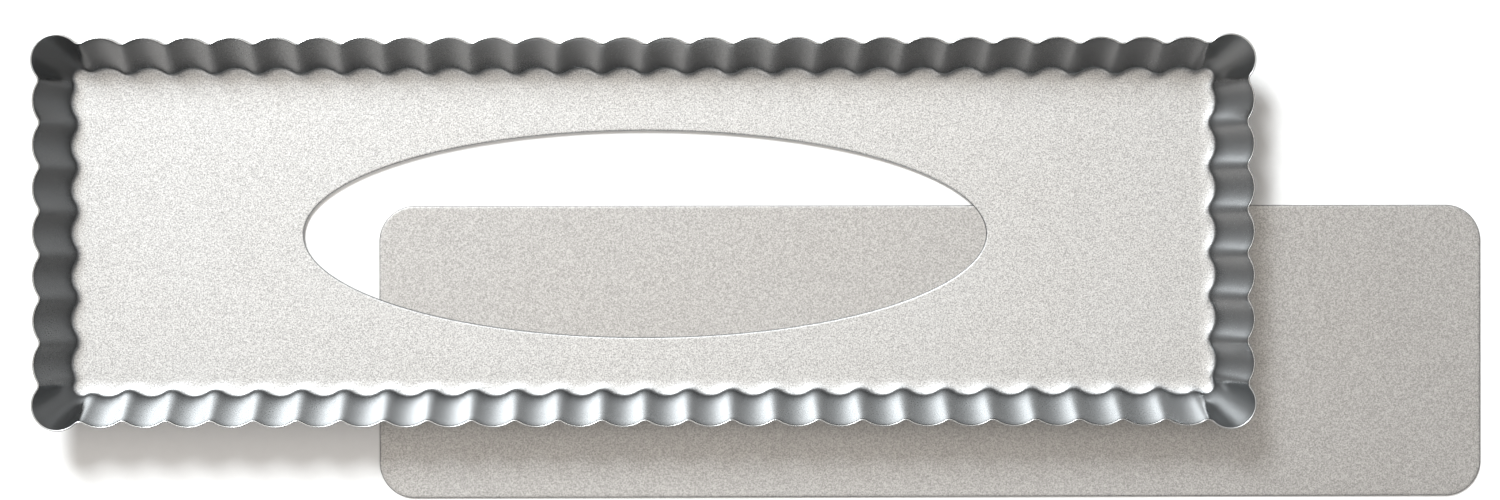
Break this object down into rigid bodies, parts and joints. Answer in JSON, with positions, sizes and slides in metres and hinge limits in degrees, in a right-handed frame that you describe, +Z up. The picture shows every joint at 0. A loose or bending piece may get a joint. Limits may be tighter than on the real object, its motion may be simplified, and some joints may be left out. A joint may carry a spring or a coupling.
{
  "type": "loose-bottom tart pan",
  "caption": "Oblong tart pan with leaning fluted walls and an oval push-up opening in its floor, standing on its flat loose bottom, which lifts a baked tart out.",
  "frame": {"origin": "middle of the whole arrangement's footprint, on the surface that the loose bottom lies on", "axes": "+X along the pan towards the end where the loose bottom sticks out, +Y across the pan away from the side where the loose bottom shows, +Z up"},
  "size_m": [0.4246, 0.1358, 0.0265],
  "materials": {
    "shell_coating": "satin silver-grey non-stick coating with a fine metallic grain on pressed steel",
    "bottom_coating": "satin silver-grey non-stick coating with a fine metallic grain on flat steel"
  },
  "bodies": {
    "loose_bottom": {"loose_bottom": "bottom_coating"},
    "shell": {"fluted_shell": "shell_coating"}
  },
  "joints": [
    {"name": "shell_lift", "type": "slide", "parent": "loose_bottom", "child": "shell", "axis": [0, 0, 1], "range_m": [0, 0.08]}
  ]
}
